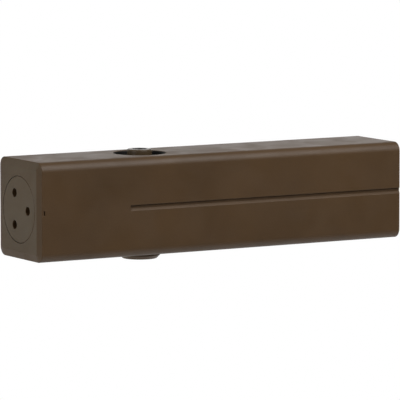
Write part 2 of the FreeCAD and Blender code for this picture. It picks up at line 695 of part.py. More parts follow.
# ---- spring adjuster ------------------------------------------------------------------------------------
def make_adjuster():
    """The screw that sets the closing force, and the plate that it draws along the bore."""
    radius = size["screw_radius"]
    start = size["screw_recess"]
    cord = size["screw_cord"]
    groove = size["right_plug_length"] / 2
    floor = radius - cord
    collar_start = size["right_plug_length"] + size["screw_washer"]
    tip = SCREW_COLLAR_END + size["screw_thread_length"]
    points = [(ZERO, start), (radius - 0.5, start), (radius, start + 0.5), (radius, groove), (floor, groove),
              (floor, groove + cord * 1.25), (radius, groove + cord * 1.25), (radius, collar_start),
              (size["screw_collar"], collar_start), (size["screw_collar"], SCREW_COLLAR_END),
              (radius, SCREW_COLLAR_END), (radius, tip - 1), (radius - 1, tip), (ZERO, tip)]
    body = turned("adjusting_screw", points, RIGHT_END, BORE_Y, 0, INWARD_FROM_RIGHT)
    socket = outline(body, "adjuster_socket", "XY_Plane", hexagon(size["screw_socket_flats"]), start)
    pocket(body, socket, size["screw_socket_depth"], backwards=True)
    oring("adjusting_screw_oring", radius, cord, RIGHT_END - groove - cord * 0.625, BORE_Y, 0,
          INWARD_FROM_RIGHT)
    ring_disc("adjuster_thrust_washer", size["screw_collar"], radius + 0.3, size["screw_washer"],
              RIGHT_END - size["right_plug_length"], BORE_Y, 0, INWARD_FROM_RIGHT)
    hub = SPIGOT_RADIUS
    bore = radius + size["running_clearance"]
    rim = size["piston_bore"] - size["plate_clearance"]
    turned("spring_plate", [(bore, PLATE_OUTER), (rim, PLATE_OUTER), (rim, PLATE_INNER), (hub, PLATE_INNER),
                            (hub, PLATE_INNER + size["spigot_length"]),
                            (bore, PLATE_INNER + size["spigot_length"])],
           RIGHT_END, BORE_Y, 0, INWARD_FROM_RIGHT)


def make_springs():
    for label in ("outer", "inner"):
        coil_spring("closing_spring_" + label, size[label + "_wire"], COIL_RADIUS[label],
                    size[label + "_turns"], SPRING_LENGTH, PISTON_RIGHT, BORE_Y, 0, INWARD_FROM_LEFT)


# ---- piston ---------------------------------------------------------------------------------------------
def piston_outline():
    """Half section of the piston from its left end, with both ring grooves and the right spigot."""
    radius = size["piston_bore"] - size["bore_clearance"]
    floor = radius - size["ring_depth"]
    length = PISTON_RIGHT - PISTON_LEFT
    first = size["ring_from_end"]
    second = length - first - size["ring_width"]
    return [(ZERO, ZERO), (radius, ZERO), (radius, first), (floor, first), (floor, first + size["ring_width"]),
            (radius, first + size["ring_width"]), (radius, second), (floor, second),
            (floor, second + size["ring_width"]), (radius, second + size["ring_width"]), (radius, length),
            (SPIGOT_RADIUS, length), (SPIGOT_RADIUS, length + size["spigot_length"]),
            (ZERO, length + size["spigot_length"])]


def cut_window(body):
    """The window that the pinion stands in, with the rack along its front side."""
    right_end = WINDOW_RIGHT - PISTON_LEFT
    left_end = size["left_head"]
    back = TIP_RADIUS + size["window_back_room"]
    front = -RACK_TIPS
    window = outline(body, "window", "YZ_Plane", [
        (front, left_end), (back, left_end), (back, right_end), (front, right_end)])
    pocket(body, window, both_ways=True)
    slope = size["pressure_angle"].tangent()
    quarter = TOOTH_PITCH / 4
    depth = size["gear_module"] * 2 + size["gear_module"] * size["tooth_root_room"]
    mouth = quarter + slope * size["gear_module"]
    floor = mouth - slope * depth
    first = SPINDLE_X - PISTON_LEFT + TOOTH_PITCH * 2
    gap = outline(body, "rack_gap", "YZ_Plane", [
        (front + 0.5, first - mouth), (front, first - mouth), (front - depth, first - floor),
        (front - depth, first + floor), (front, first + mouth), (front + 0.5, first + mouth)])
    cut = pocket(body, gap, both_ways=True)
    pattern = body.newObject("PartDesign::LinearPattern", "rack_gaps")
    pattern.Originals = [cut]
    pattern.Direction = (origin_plane(body, "Z_Axis"), [""])
    pattern.Reversed = True
    pattern.setExpression("Length", (TOOTH_PITCH * (size["rack_gaps"] - 1)).text)
    pattern.setExpression("Occurrences", size["rack_gaps"].text)
    body.Tip = pattern
    doc.recompute()


def make_piston():
    """The hollow piston, its rings, and the two small valves in its heads."""
    body = turned("rack_piston", piston_outline(), PISTON_LEFT, BORE_Y, 0, INWARD_FROM_LEFT)
    cut_window(body)
    end = PISTON_RIGHT - PISTON_LEFT + size["spigot_length"]
    port = circles(body, "head_ports", "XY_Plane", [(ZERO, ZERO, size["check_port"])])
    pocket(body, port, end, backwards=True)
    check = circles(body, "check_bore", "XY_Plane", [(ZERO, ZERO, size["check_bore"])])
    pocket(body, check, size["check_bore_depth"], backwards=True)
    relief = circles(body, "relief_bore", "XY_Plane", [(ZERO, ZERO, size["check_bore"])],
                     end - size["relief_bore_depth"])
    pocket(body, relief, size["relief_bore_depth"] + 1, backwards=True)
    make_piston_rings()
    make_check_valve()
    make_relief_valve()


def make_piston_rings():
    outer = size["piston_bore"] - size["bore_clearance"]
    inner = outer - size["ring_depth"]
    rings = []
    for side, start in (("left", PISTON_LEFT + size["ring_from_end"]),
                        ("right", PISTON_RIGHT - size["ring_from_end"] - size["ring_width"])):
        disc = primitive("Cylinder", side + "_ring_disc", Radius=outer, Height=size["ring_width"])
        hole = primitive("Cylinder", side + "_ring_hole", Radius=inner, Height=size["ring_width"])
        ring = boolean("Cut", side + "_ring", disc, hole)
        place(ring, start, BORE_Y, 0, INWARD_FROM_LEFT)
        rings.append(ring)
    keep(group("piston_rings", rings), "piston_rings")


def ball_seat_distance():
    """How far a ball's middle stands off the flat that its port opens in."""
    ball = size["check_ball_radius"]
    return (ball * ball - size["check_port"] * size["check_port"]).root()


def make_check_valve():
    """The ball that lets oil through the left head when the door opens."""
    floor = PISTON_LEFT + size["check_bore_depth"]
    middle = floor - ball_seat_distance()
    ball = primitive("Sphere", "check_ball", Radius=size["check_ball_radius"])
    place(ball, middle, BORE_Y, 0)
    keep(ball, "check_ball")
    inner_face = middle - size["check_ball_radius"] - size["ball_lift"]
    ring_disc("check_retainer", size["check_bore"], size["check_port"], size["retainer_thickness"],
              inner_face - size["retainer_thickness"], BORE_Y, 0, INWARD_FROM_LEFT)


def make_relief_valve():
    """The spring-loaded ball that opens if the door is forced shut."""
    mouth = PISTON_RIGHT + size["spigot_length"]
    floor = mouth - size["relief_bore_depth"]
    middle = floor + ball_seat_distance()
    ball = primitive("Sphere", "relief_ball", Radius=size["check_ball_radius"])
    place(ball, middle, BORE_Y, 0)
    keep(ball, "relief_ball")
    screw_start = mouth - size["relief_screw_length"]
    ring_disc("relief_screw", size["check_bore"], size["check_port"], size["relief_screw_length"],
              screw_start, BORE_Y, 0, INWARD_FROM_LEFT)
    contact = size["check_ball_radius"] * 0.75
    spring_start = middle + contact
    coil_spring("relief_spring", size["relief_wire"], size["relief_coil"], Size.of(5),
                screw_start - spring_start, spring_start, BORE_Y, 0, INWARD_FROM_LEFT)


# ---- spindle --------------------------------------------------------------------------------------------
def involute_point(base, roll, turn, side):
    """The point of an involute off a base circle after rolling through an angle."""
    x = base * (math.cos(roll) + roll * math.sin(roll))
    y = side * base * (math.sin(roll) - roll * math.cos(roll))
    return Vector(x * math.cos(turn) - y * math.sin(turn), x * math.sin(turn) + y * math.cos(turn), 0)


def tooth_flank(base, tip, half_angle, side):
    """One flank of a tooth that points along +X, from the base circle to the tip circle."""
    last = math.sqrt((tip / base) ** 2 - 1)
    steps = 5
    points = [involute_point(base, last * step / steps, -side * half_angle, side) for step in range(steps + 1)]
    curve = Part.BSplineCurve()
    curve.interpolate(points)
    return curve.toShape(), points[0], points[-1]


def pinion_tooth(pitch, tip, root, height):
    """A single involute tooth, rooted well inside the pinion's core."""
    angle = math.radians(size["pressure_angle"].value)
    base = pitch * math.cos(angle)
    thickness = math.pi * size["gear_module"].value / 2 - size["tooth_backlash"].value
    half_angle = thickness / (2 * pitch) + math.tan(angle) - angle
    lower, lower_base, lower_tip = tooth_flank(base, tip, half_angle, 1)
    upper, upper_base, upper_tip = tooth_flank(base, tip, half_angle, -1)
    inside = root * 0.8
    low_foot = Vector(lower_base.x, lower_base.y, 0).normalize() * inside
    high_foot = Vector(upper_base.x, upper_base.y, 0).normalize() * inside
    crown = Part.Arc(lower_tip, Vector(tip, 0, 0), upper_tip).toShape()
    wire = Part.Wire(Part.__sortEdges__([
        lower, crown, upper, Part.makeLine(upper_base, high_foot), Part.makeLine(high_foot, low_foot),
        Part.makeLine(low_foot, lower_base)]))
    return Part.Face(wire).extrude(Vector(0, 0, height))


def pinion_shape():
    """The toothed middle of the spindle, a tooth gap facing the rack."""
    pitch = PITCH_RADIUS.value
    root = pitch - size["gear_module"].value * (1 + size["tooth_root_room"].value)
    height = 2 * size["pinion_half_height"].value
    solid = Part.makeCylinder(root, height)
    tooth = pinion_tooth(pitch, TIP_RADIUS.value, root, height)
    count = int(size["pinion_teeth"].value)
    for number in range(count):
        turned_tooth = tooth.copy()
        turned_tooth.rotate(Vector(), Vector(0, 0, 1), 270 + number * 360.0 / count)
        solid = solid.fuse(turned_tooth)
    solid = solid.removeSplitter()
    solid.translate(Vector(0, 0, -height / 2))
    return solid


def mouth_edge(start):
    """A test for the six edges round a hexagon socket's mouth, at one end face."""
    side = size["spindle_socket_flats"].value / math.sqrt(3.0)

    def at_mouth(edge):
        level = edge.BoundBox.ZLength < 1e-3 and abs(edge.BoundBox.ZMax - start.value) < 1e-3
        return level and abs(edge.Length - side) < 1e-3

    return at_mouth


def spindle_shaft():
    """The shaft with a thrust collar above and below the pinion and a socket in each end."""
    radius = size["spindle_radius"]
    rim = size["spindle_rim"]
    end = TOP + size["spindle_proud"]
    collar_end = CARRIER_SEAT - size["washer_thickness"]
    collar_start = collar_end - size["collar_thickness"]
    collar = TIP_RADIUS - size["collar_below_tips"]
    neck = RACK_TIPS - size["neck_room"]
    upper = [(neck, collar_start), (collar, collar_start), (collar, collar_end), (JOURNAL_RADIUS, collar_end),
             (JOURNAL_RADIUS, JOURNAL_END), (radius, JOURNAL_END), (radius, end - rim), (radius - rim, end)]
    lower = [(across, -height) for across, height in reversed(upper)]
    body = new_body("spindle_shaft")
    revolved(body, [(ZERO, -end)] + lower + upper + [(ZERO, end)])
    for side, start, backwards in (("top", end, False), ("bottom", -end, True)):
        socket = outline(body, side + "_socket", "XY_Plane", hexagon(size["spindle_socket_flats"]), start)
        pocket(body, socket, size["spindle_socket_depth"], backwards)
        hole = circles(body, side + "_tapped_hole", "XY_Plane", [(ZERO, ZERO, size["arm_screw_hole"])], start)
        last = pocket(body, hole, size["spindle_socket_depth"] + size["arm_screw_depth"], backwards)
        corners = dress(body, "Chamfer", side + "_socket_mouth", last, mouth_edge(start),
                        Size=size["spindle_socket_mouth"])
        doc.recompute()
        body.Tip = corners
    return body


def make_spindle():
    """The spindle: a turned shaft, and the pinion cut in its middle."""
    shaft = spindle_shaft()
    pinion = doc.addObject("Part::Feature", "pinion")
    pinion.Shape = pinion_shape()
    spindle = boolean("Fuse", "pinion_spindle", shaft, pinion)
    spindle.Refine = True
    place(spindle, SPINDLE_X, BORE_Y, 0)
    keep(spindle, "pinion_spindle")


# ---- bearings and seals at each end of the spindle ------------------------------------------------------
def make_carrier(side, sign, turn):
    """A screwed-in ring that holds the needle bearing and the shaft seal."""
    outer = size["recess_radius"] - size["static_clearance"]
    cord = size["carrier_cord"]
    floor = size["recess_radius"] - cord
    groove = size["carrier_height"] / 4
    tall = size["carrier_height"]
    web = JOURNAL_RADIUS + size["web_room"]
    web_start = size["cup_length"]
    web_end = web_start + size["carrier_web"]
    points = [(CUP_RADIUS, ZERO), (outer, ZERO), (outer, groove), (floor, groove),
              (floor, groove + cord * 1.25), (outer, groove + cord * 1.25), (outer, tall - 0.4),
              (outer - 0.4, tall), (SEAL_RADIUS, tall), (SEAL_RADIUS, web_end), (web, web_end), (web, web_start),
              (CUP_RADIUS, web_start)]
    seat = CARRIER_SEAT * sign
    body = turned(side + "_bearing_carrier", points, SPINDLE_X, BORE_Y, seat, turn)
    spanner_at = (outer + SEAL_RADIUS) / 2
    holes = circles(body, side + "_carrier_holes", "XY_Plane",
                    [(spanner_at, ZERO, 1.25), (-spanner_at, ZERO, 1.25)], tall)
    pocket(body, holes, 2.5)
    oring(side + "_carrier_oring", size["recess_radius"], cord, SPINDLE_X, BORE_Y,
          seat + (groove + cord * 0.625) * sign, turn)


def make_needle_bearing(side, sign, turn):
    """A drawn cup with its needle rollers."""
    seat = CARRIER_SEAT * sign
    ring_disc(side + "_bearing_cup", CUP_RADIUS, RACEWAY_RADIUS, size["cup_length"], SPINDLE_X, BORE_Y, seat,
              turn)
    circle = JOURNAL_RADIUS + size["needle_roller"] + size["needle_play"]
    count = 24
    needles = []
    for number in range(count):
        angle = 2 * math.pi * number / count
        roller = primitive("Cylinder", "%s_roller_%d" % (side, number + 1), Radius=size["needle_roller"],
                           Height=size["cup_length"] - 0.4)
        place(roller, circle * round(math.cos(angle), 9), circle * round(math.sin(angle), 9), 0.2)
        needles.append(roller)
    rollers = group(side + "_needle_rollers", needles)
    place(rollers, SPINDLE_X, BORE_Y, seat, turn)
    keep(rollers, side + "_needle_rollers")


def make_spindle_end(side, sign, turn):
    make_carrier(side, sign, turn)
    make_needle_bearing(side, sign, turn)
    shaft_hole = JOURNAL_RADIUS + size["running_clearance"]
    seal_at = (CARRIER_SEAT + size["cup_length"] + size["carrier_web"]) * sign
    ring_disc(side + "_shaft_seal", SEAL_RADIUS, shaft_hole, size["seal_thickness"],
              SPINDLE_X, BORE_Y, seal_at, turn)
    washer_at = (CARRIER_SEAT - size["washer_thickness"]) * sign
    ring_disc(side + "_thrust_washer", PASSAGE_RADIUS - 0.1, JOURNAL_RADIUS + 0.2,
              size["washer_thickness"], SPINDLE_X, BORE_Y, washer_at, turn)


def make_spindle_cap():
    """The cap that covers the unused lower end of the spindle."""
    flange = size["recess_radius"] - size["static_clearance"]
    dome = size["cap_radius"]
    proud = size["cap_proud"]
    bevel = size["cap_bevel"]
    room = size["spindle_radius"] + size["cap_room"]
    ceiling = size["spindle_proud"] + size["cap_room"]
    points = [(ZERO, proud), (dome - bevel, proud), (dome, proud - bevel), (dome, ZERO),
              (flange - 0.5, ZERO), (flange, Size.of(-0.5)), (flange, -RECESS_DEPTH), (room, -RECESS_DEPTH),
              (room, ceiling), (ZERO, ceiling)]
    turned("lower_spindle_cap", points, SPINDLE_X, BORE_Y, -TOP, UPSIDE_DOWN)


# ---- build, check, write --------------------------------------------------------------------------------
def check_everything():
    for item in doc.Objects:
        if "Invalid" in item.State or "Error" in item.State:
            raise RuntimeError("%s failed: %s" % (item.Name, item.State))
    for item in parts:
        if item.Shape.isNull() or not item.Shape.isValid() or not item.Shape.Solids:
            raise RuntimeError("%s has no sound shape" % item.Label)


def write_files():
    os.makedirs("parts", exist_ok=True)
    for item in parts:
        item.Shape.exportStep(os.path.join("parts", item.Label + ".step"))


make_housing()
make_gallery_balls()
make_left_plug()
make_right_plug()
make_valves()
make_adjuster()
make_springs()
make_piston()
make_spindle()
make_spindle_end("upper", 1, UPRIGHT)
make_spindle_end("lower", -1, UPSIDE_DOWN)
make_spindle_cap()
doc.recompute()
check_everything()
write_files()
print("pieces", len(parts), "stroke", round(STROKE.value, 3), "spring", round(SPRING_LENGTH.value, 2))
for piece in parts:
    box = piece.Shape.BoundBox
    print("%-26s solids %d volume %.1f box x %.2f %.2f y %.2f %.2f z %.2f %.2f" % (
        piece.Label, len(piece.Shape.Solids), piece.Shape.Volume, box.XMin, box.XMax, box.YMin, box.YMax,
        box.ZMin, box.ZMax))
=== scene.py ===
# %% [markdown]
# # The body of a door closer, dressed and lit
# The shapes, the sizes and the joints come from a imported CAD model, which loads as a fixed frame.
# The pieces could be modelled again here, but then two models would have to agree. So nothing
# below moves or reshapes a piece: this script only adds finishes, a floor, lamps and a camera.

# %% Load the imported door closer
import math

import bpy
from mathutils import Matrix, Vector


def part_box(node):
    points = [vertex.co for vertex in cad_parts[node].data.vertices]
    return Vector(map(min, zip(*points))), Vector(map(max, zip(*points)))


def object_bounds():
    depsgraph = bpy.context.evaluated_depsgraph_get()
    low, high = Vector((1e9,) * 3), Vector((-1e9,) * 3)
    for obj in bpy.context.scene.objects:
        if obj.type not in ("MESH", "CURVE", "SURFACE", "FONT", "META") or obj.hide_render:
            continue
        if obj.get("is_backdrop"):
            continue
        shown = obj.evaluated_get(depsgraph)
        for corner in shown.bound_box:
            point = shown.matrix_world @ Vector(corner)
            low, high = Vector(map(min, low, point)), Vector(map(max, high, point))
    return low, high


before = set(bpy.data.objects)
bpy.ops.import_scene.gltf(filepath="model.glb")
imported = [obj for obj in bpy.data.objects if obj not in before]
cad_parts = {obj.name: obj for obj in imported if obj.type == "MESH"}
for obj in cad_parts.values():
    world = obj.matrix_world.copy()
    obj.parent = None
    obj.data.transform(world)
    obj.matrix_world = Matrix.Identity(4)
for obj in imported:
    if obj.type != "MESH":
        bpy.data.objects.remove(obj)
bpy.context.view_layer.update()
print("pieces loaded:", len(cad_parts))

# %% [markdown]
# ## The viewpoint
# The closer is a bar 273 mm long, and a long lens used from far away keeps its long edges nearly
# parallel, as hardware is usually shown. A short lens close by would make the near end look
# swollen. So the camera stands 2.7 m away, 30 degrees round to the valve end and a little above,
# with a lens of about 366 mm. Its turn is given outright, so it needs no target or constraint.

# %% Camera
CAMERA_PLACE = (-1.34263, -2.31346, 0.29872)
CAMERA_TILT, CAMERA_TURN = math.radians(83.5324), math.radians(-30.3925)
LENS_MM, SENSOR_MM = 366.2, 36.0

camera_data = bpy.data.cameras.new("long_lens")
camera_data.lens = LENS_MM
camera_data.sensor_width = SENSOR_MM
camera = bpy.data.objects.new("product_camera", camera_data)
camera.location = CAMERA_PLACE
camera.rotation_euler = (CAMERA_TILT, 0.0, CAMERA_TURN)
bpy.context.scene.collection.objects.link(camera)
bpy.context.scene.camera = camera
print("camera is", round(camera.location.length, 3), "m from the closer")

# %% [markdown]
# ## Colour handling
# The Standard view shows the paint's colour as it is. Filmic views lower the contrast of dark
# browns and tint the white surroundings grey, so they suit a landscape better than a product.

# %% View transform
view = bpy.context.scene.view_settings
view.view_transform = "Standard"
view.look = "None"
print("view transform:", view.view_transform)


# %% [markdown]
# ## Small helpers for node trees
# Every finish below is a tree of shader nodes. They could be placed by hand in the node editor,
# but a script keeps them readable and repeatable. One helper adds a node and sets its values, and
# one joins two sockets. The next three stand for steps that come back in most finishes: a value
# stretched to a new range, a value multiplied by a number, and noise.

# %% Node helpers
def add_node(tree, kind, **values):
    """Adds a node. A name that is a property is set as one, and the rest are input sockets."""
    node = tree.nodes.new("ShaderNode" + kind)
    for name, value in values.items():
        if hasattr(node, name):
            setattr(node, name, value)
        else:
            node.inputs[name.replace("_", " ")].default_value = value
    return node


def join(tree, source, output, target, socket):
    """Links an output of one node to an input of another."""
    tree.links.new(source.outputs[output], target.inputs[socket])


def stretched(tree, source, output, start, end, low=0.0, high=1.0):
    """The output taken from the range start..end to the range low..high, and held at its ends."""
    stretch = add_node(tree, "MapRange", From_Min=start, From_Max=end, To_Min=low, To_Max=high)
    join(tree, source, output, stretch, "Value")
    return stretch


def times(tree, source, output, factor):
    """The output multiplied by one number."""
    product = add_node(tree, "Math", operation="MULTIPLY")
    product.inputs[1].default_value = factor
    join(tree, source, output, product, 0)
    return product


def noise_at(tree, place, output, **values):
    """Noise read at the place that a node's output gives."""
    noise = add_node(tree, "TexNoise", **values)
    join(tree, place, output, noise, "Vector")
    return noise


# %% [markdown]
# ## Surroundings
# The closer is shown on plain white. The sky that lights it is dimmer than the white that the
# camera sees, and dimmer in front than behind, because a satin paint mirrors whatever faces it:
# a bright wall in front would turn the brown front grey. A Light Path node tells the two apart.

# %% World
PLAIN_WHITE = (1.0, 1.0, 1.0, 1.0)
WARM_WHITE = (1.0, 0.985, 0.965, 1.0)
ROOM_FRONT, ROOM_BACK = -0.9, 0.9
DIM_IN_FRONT, BRIGHTER_BEHIND = 0.08, 0.32

world = bpy.data.worlds.new("soft_white_room")
bpy.context.scene.world = world
world.use_nodes = True
sky = world.node_tree
sky.nodes.clear()
way = add_node(sky, "TexCoord")
toward_back = add_node(sky, "SeparateXYZ")
join(sky, way, "Generated", toward_back, "Vector")
ramp = stretched(sky, toward_back, "Y", ROOM_FRONT, ROOM_BACK, DIM_IN_FRONT, BRIGHTER_BEHIND)
room = add_node(sky, "Background", Color=WARM_WHITE)
join(sky, ramp, "Result", room, "Strength")
seen = add_node(sky, "Background", Color=PLAIN_WHITE, Strength=1.0)
rays = add_node(sky, "LightPath")
pick = add_node(sky, "MixShader")
join(sky, rays, "Is Camera Ray", pick, "Fac")
join(sky, room, "Background", pick, 1)
join(sky, seen, "Background", pick, 2)
join(sky, pick, "Shader", add_node(sky, "OutputWorld"), "Surface")
print("world:", world.name)

# %% [markdown]
# ## Floor
# The floor lies well below the closer, which hangs on a door and never stands on anything. A plain
# square plane is enough, with its corners rounded, and it bounces light on to the lower edge.

# %% Floor
FLOOR_SIZE, FLOOR_HEIGHT = 24.0, -0.30
CORNER_ROUND, CORNER_STEPS = 6.0, 12

bpy.ops.object.select_all(action="DESELECT")
bpy.ops.mesh.primitive_plane_add(size=FLOOR_SIZE, location=(0.0, 0.0, FLOOR_HEIGHT))
floor = bpy.context.object
floor.name = "studio_floor"
bpy.ops.object.mode_set(mode="EDIT")
bpy.ops.mesh.select_all(action="SELECT")
bpy.ops.mesh.bevel(offset=CORNER_ROUND, segments=CORNER_STEPS, affect="VERTICES")
bpy.ops.object.mode_set(mode="OBJECT")
floor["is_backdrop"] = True
print("floor corners:", len(floor.data.vertices))

# %% [markdown]
# ## Floor paint
# In front, the floor is dark to everything but the camera, as if a black flag lay there, because
# the satin front would mirror a pale floor and turn grey. A real flag could be modelled instead,
# but the camera would see it. The underside is see-through, so the closer can be looked at from
# below.

# %% Floor paint
FLAG_DARK, FLOOR_PALE = 0.10, 0.92
FLAG_ENDS, FLOOR_STARTS = -0.55, -0.15

floor_paint = bpy.data.materials.new("pale_floor")
floor_paint.use_nodes = True
tree = floor_paint.node_tree
tree.nodes.clear()
matt = add_node(tree, "BsdfDiffuse")
spot = add_node(tree, "TexCoord")
depth = add_node(tree, "SeparateXYZ")
join(tree, spot, "Object", depth, "Vector")
flag = stretched(tree, depth, "Y", FLAG_ENDS, FLOOR_STARTS, FLAG_DARK, FLOOR_PALE)
join(tree, flag, "Result", matt, "Color")
glow = add_node(tree, "Emission", Color=PLAIN_WHITE, Strength=1.0)
rays = add_node(tree, "LightPath")
shown = add_node(tree, "MixShader")
join(tree, rays, "Is Camera Ray", shown, "Fac")
join(tree, matt, "BSDF", shown, 1)
join(tree, glow, "Emission", shown, 2)
clear = add_node(tree, "BsdfTransparent")
side = add_node(tree, "NewGeometry")
faced = add_node(tree, "MixShader")
join(tree, side, "Backfacing", faced, "Fac")
join(tree, shown, "Shader", faced, 1)
join(tree, clear, "BSDF", faced, 2)
join(tree, faced, "Shader", add_node(tree, "OutputMaterial"), "Surface")
floor.data.materials.append(floor_paint)
print("floor finish:", floor_paint.name)


# %% [markdown]
# ## Lamps
# The key stands in front, to the right and above: it lights the long front face more towards its
# far end. A fill on the left and a faint, slightly green box behind it keep the valve end from
# going flat, one box low down lifts the lower edge, and one at the back is mirrored by the far
# half of the top. All are square sheets of light, because a small lamp would leave a hot spot on
# the satin.

# %% Lamps
NEUTRAL = (1.0, 1.0, 1.0)
FAINT_GREEN = (0.84, 1.0, 0.86)
MID_BODY = (0.05, -0.03, 0.0)
FAR_HALF = (0.10, -0.03, 0.0)
VALVE_END = (-0.13, -0.03, 0.0)


def soft_box(name, place, aim, width, power, tint=NEUTRAL):
    """A square sheet of light, width metres wide and power watts, turned towards aim."""
    sheet = bpy.data.lights.new(name, "AREA")
    sheet.color = tint
    sheet.shape = "SQUARE"
    sheet.size = width
    sheet.energy = power
    lamp = bpy.data.objects.new(name, sheet)
    lamp.location = place
    toward = Vector(aim) - Vector(place)
    lamp.rotation_euler = toward.to_track_quat("-Z", "Y").to_euler()
    bpy.context.scene.collection.objects.link(lamp)
    print(name, "at", place, "power", power)


soft_box("key_box", (0.40, -1.15, 1.22), MID_BODY, 1.5, 32.0)
soft_box("low_box", (0.10, -0.10, -0.28), MID_BODY, 0.5, 0.16)
soft_box("rear_box", (0.75, 1.10, 0.32), FAR_HALF, 0.6, 0.8)
soft_box("left_box", (-1.60, -0.30, 0.50), VALVE_END, 0.8, 8.0)
soft_box("edge_box", (-0.90, 1.00, 0.12), VALVE_END, 0.8, 1.3, FAINT_GREEN)


# %% [markdown]
# ## Node groups
# An effect that several finishes share is a node group: it is built once, and each finish places
# it with its own values. A group's sockets are declared before its nodes are joined. Noise stays
# near 0.5, so two ranges round the middle are kept here, and a mask stretched from the narrow one
# has more contrast than a mask stretched from the wide one.

# %% Group helpers
NARROW = (0.38, 0.62)
WIDE = (0.3, 0.7)


def new_group(name, inputs, outputs):
    """A node group with the sockets it is given, as (name, type, default) and (name, type)."""
    group = bpy.data.node_groups.new(name, "ShaderNodeTree")
    for label, kind, value in inputs:
        socket = group.interface.new_socket(
            label, in_out="INPUT", socket_type="NodeSocket" + kind)
        socket.default_value = value
    for label, kind in outputs:
        group.interface.new_socket(label, in_out="OUTPUT", socket_type="NodeSocket" + kind)
    return group, group.nodes.new("NodeGroupInput"), group.nodes.new("NodeGroupOutput")


def use_group(tree, group, **values):
    """Places a node group in a tree, with its own values."""
    node = tree.nodes.new("ShaderNodeGroup")
    node.node_tree = group
    for name, value in values.items():
        node.inputs[name].default_value = value
    return node


def added_noise(tree, first, first_share, second, second_share):
    """Two noises in one mask, each with its share."""
    total = add_node(tree, "Math", operation="MULTIPLY_ADD")
    total.inputs[1].default_value = first_share
    join(tree, first, "Fac", total, 0)
    join(tree, times(tree, second, "Fac", second_share), "Value", total, 2)
    return total


# %% [markdown]
# ## Edges
# Paint and oxide are thinnest on sharp edges, and no real edge is a knife edge. The meshes could
# be bevelled, but they stay as designed, so the shading does it. One group gives a normal rounded
# over a small radius, which catches the light as a thin line, and a mask that is high on the edges
# and broken up by noise. Colour lightened by this mask is partly rubbed wear and partly a painted
# highlight along the edges.

# %% Edge group
STILL_FLAT, FULLY_EDGE = 0.995, 0.90
LEAST_EDGE_PATCH = 0.15

softened_edges, given, result = new_group(
    "softened_edges",
    [("Radius", "Float", 0.0004), ("Patchiness", "Float", 260.0)],
    [("Normal", "Vector"), ("Wear", "Float")])
rounded = add_node(softened_edges, "Bevel", samples=6)
join(softened_edges, given, "Radius", rounded, "Radius")
true_normal = add_node(softened_edges, "NewGeometry")
turn = add_node(softened_edges, "VectorMath", operation="DOT_PRODUCT")
join(softened_edges, rounded, "Normal", turn, 0)
join(softened_edges, true_normal, "Normal", turn, 1)
on_edge = stretched(softened_edges, turn, "Value", STILL_FLAT, FULLY_EDGE)
spot = add_node(softened_edges, "TexCoord")
patches = noise_at(softened_edges, spot, "Object", Detail=3.0)
join(softened_edges, given, "Patchiness", patches, "Scale")
edge_patches = stretched(softened_edges, patches, "Fac", *NARROW, LEAST_EDGE_PATCH)
# Edge mask for a lighter colour: partly wear, partly a painted highlight along the edges.
edge_wear_and_highlight = add_node(softened_edges, "Math", operation="MULTIPLY")
join(softened_edges, on_edge, "Result", edge_wear_and_highlight, 0)
join(softened_edges, edge_patches, "Result", edge_wear_and_highlight, 1)
join(softened_edges, rounded, "Normal", result, "Normal")
join(softened_edges, edge_wear_and_highlight, "Value", result, "Wear")
print("group:", softened_edges.name)

# %% [markdown]
# ## Sprayed paint
# Sprayed bronze lacquer is not one colour, and a single brown would look like plastic. It has a
# fine speckle of pigment, a slow drift in tone over a few centimetres, and a skin like very fine
# orange peel. The group gives a tone mask, a roughness mask and a height.

# %% Paint group
SPECKLE_SHARE, DRIFT_SHARE = 0.45, 0.55

sprayed_paint, given, result = new_group(
    "sprayed_paint",
    [("Speckle", "Float", 2600.0), ("Peel", "Float", 900.0)],
    [("Tone", "Float"), ("Gloss", "Float"), ("Height", "Float")])
spot = add_node(sprayed_paint, "TexCoord")
speckle = noise_at(sprayed_paint, spot, "Object", Detail=2.0, Roughness=0.6)
join(sprayed_paint, given, "Speckle", speckle, "Scale")
drift = noise_at(sprayed_paint, spot, "Object", Scale=16.0, Detail=3.0, Roughness=0.55)
tone = added_noise(sprayed_paint, speckle, SPECKLE_SHARE, drift, DRIFT_SHARE)
peel = noise_at(sprayed_paint, spot, "Object", Detail=1.0, Roughness=0.4)
join(sprayed_paint, given, "Peel", peel, "Scale")
smear = noise_at(sprayed_paint, spot, "Object",
                 Scale=45.0, Detail=4.0, Roughness=0.6, Distortion=0.6)
join(sprayed_paint, tone, "Value", result, "Tone")
join(sprayed_paint, smear, "Fac", result, "Gloss")
join(sprayed_paint, peel, "Fac", result, "Height")
print("group:", sprayed_paint.name)

# %% [markdown]
# ## Turning marks
# Plugs, carriers, cap and spindle are turned on a lathe, which leaves fine rings round the axis
# on every face. Rings this fine would need millions of faces, so they are noise that reads only
# the distance from the axis and the place along it. Each material brings its piece's axis on to Z
# first, so one group serves them all.

# %% Turning group
turning_marks, given, result = new_group(
    "turning_marks",
    [("Place", "Vector", (0.0, 0.0, 0.0)), ("Feed", "Float", 1500.0)],
    [("Rings", "Float")])
parts = add_node(turning_marks, "SeparateXYZ")
join(turning_marks, given, "Place", parts, "Vector")
flat = add_node(turning_marks, "CombineXYZ")
join(turning_marks, parts, "X", flat, "X")
join(turning_marks, parts, "Y", flat, "Y")
across = add_node(turning_marks, "VectorMath", operation="LENGTH")
join(turning_marks, flat, "Vector", across, 0)
sum_up = add_node(turning_marks, "Math", operation="ADD")
join(turning_marks, across, "Value", sum_up, 0)
join(turning_marks, parts, "Z", sum_up, 1)
rings = add_node(turning_marks, "TexNoise", noise_dimensions="1D", Detail=2.0, Roughness=0.7)
join(turning_marks, sum_up, "Value", rings, "W")
join(turning_marks, given, "Feed", rings, "Scale")
join(turning_marks, rings, "Fac", result, "Rings")
print("group:", turning_marks.name)


